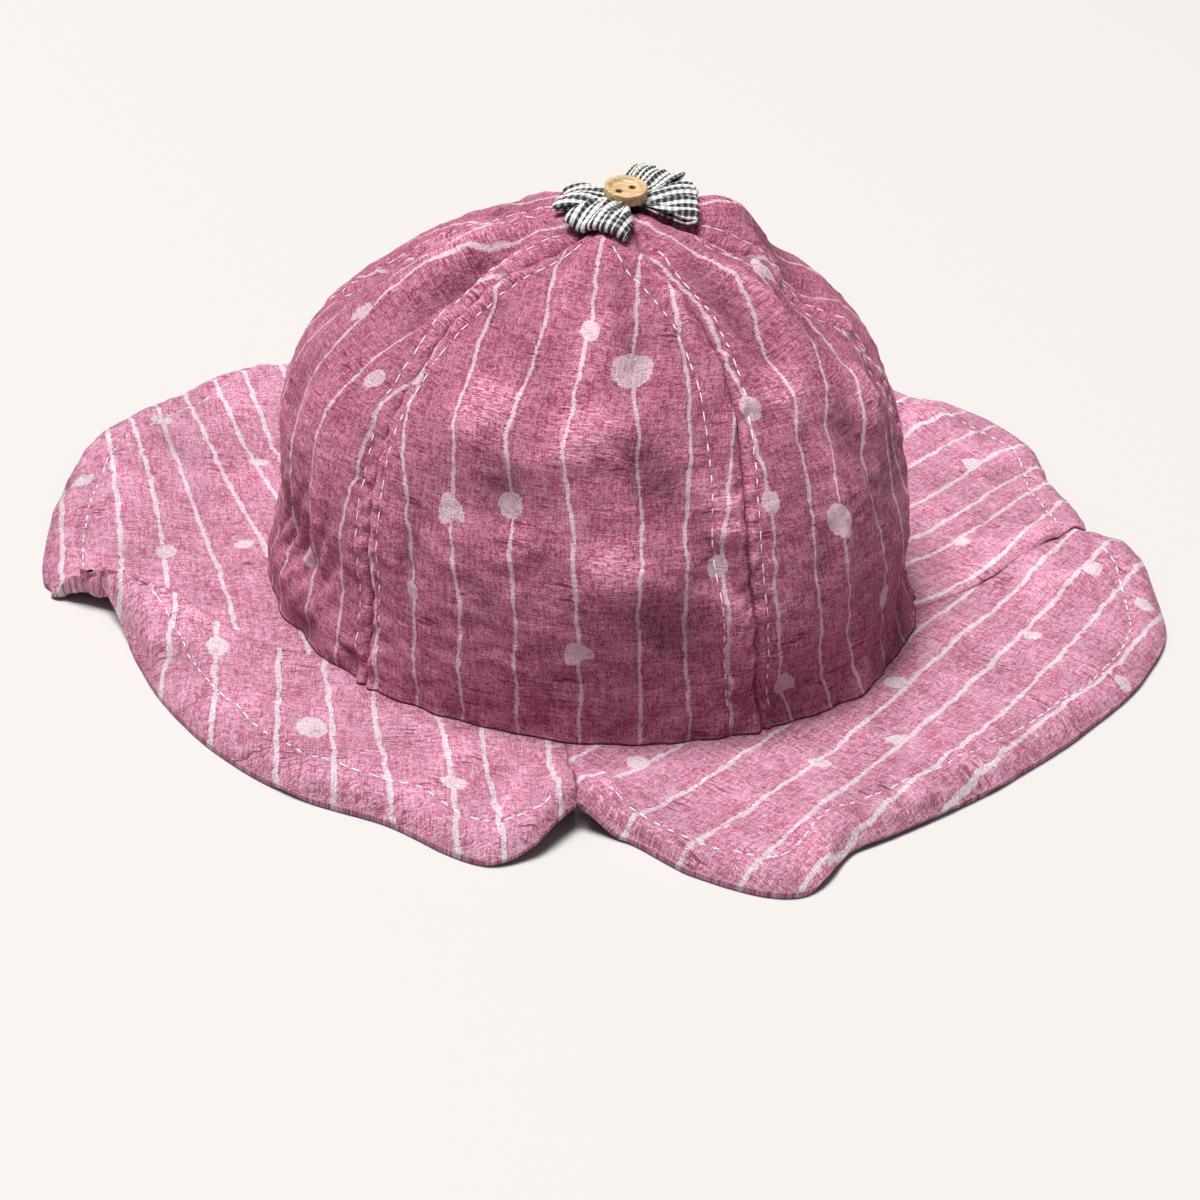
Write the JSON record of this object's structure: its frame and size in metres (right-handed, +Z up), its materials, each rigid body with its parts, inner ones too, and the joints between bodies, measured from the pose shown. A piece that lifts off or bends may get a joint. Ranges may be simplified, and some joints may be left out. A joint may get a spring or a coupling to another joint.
{
  "type": "baby sun hat",
  "caption": "Soft cotton sun hat for a baby, with a panelled dome crown, a wavy petal brim, a checked ribbon bow and a round wooden button on top.",
  "frame": {"origin": "on the level surface the hat rests on, below the middle of the whole hat's bounding box", "axes": "+Z up toward the button; -Y toward the side seen in the picture, where the front notch of the brim is; +X to the right as seen from there"},
  "size_m": [0.2716, 0.2586, 0.1024],
  "materials": {
    "crown_cloth": "matte slubby cotton, mauve pink with thin white stripes",
    "brim_cloth": "matte slubby cotton, pink with thin white stripes, two layers",
    "ribbon": "black and white small check",
    "wood": "pale, satin"
  },
  "bodies": {
    "root": {"crown_panel_front": "crown_cloth", "crown_panel_front_right": "crown_cloth", "crown_panel_back_right": "crown_cloth", "crown_panel_back": "crown_cloth", "crown_panel_back_left": "crown_cloth", "crown_panel_front_left": "crown_cloth", "brim_petal_front_left": "brim_cloth", "brim_petal_front_right": "brim_cloth", "brim_petal_back_right": "brim_cloth", "brim_petal_back_left": "brim_cloth", "bow_loop_left": "ribbon", "bow_loop_front": "ribbon", "bow_loop_right": "ribbon", "bow_loop_back": "ribbon", "button": "wood"}
  },
  "joints": []
}
